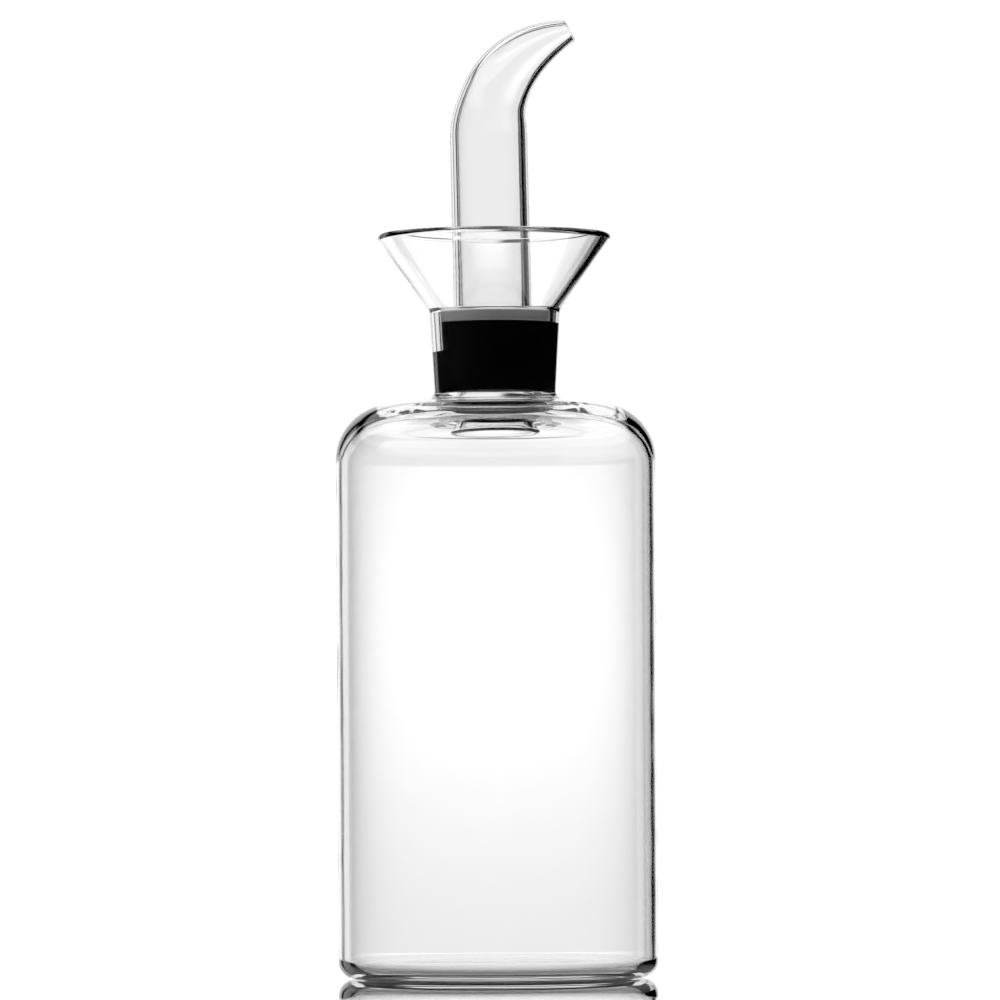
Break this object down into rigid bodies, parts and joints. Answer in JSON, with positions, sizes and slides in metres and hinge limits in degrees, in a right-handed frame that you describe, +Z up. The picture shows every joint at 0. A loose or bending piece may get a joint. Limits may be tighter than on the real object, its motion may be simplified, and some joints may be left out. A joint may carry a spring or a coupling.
{
  "type": "oil cruet",
  "caption": "Clear glass oil cruet with a flared drip collar, a black rubber stopper and a curved glass pouring spout.",
  "frame": {"origin": "centre of the bottle's foot, on the surface that it stands on", "axes": "+Z up along the bottle's axis, +X the way the pouring spout points, -Y the side that faces the viewer"},
  "size_m": [0.076, 0.076, 0.2275],
  "materials": {
    "bottle_glass": "clear polished borosilicate glass",
    "spout_glass": "clear polished borosilicate glass",
    "stopper_rubber": "matt black silicone rubber"
  },
  "bodies": {
    "root": {"bottle": "bottle_glass", "stopper": "stopper_rubber", "spout": "spout_glass"}
  },
  "joints": []
}
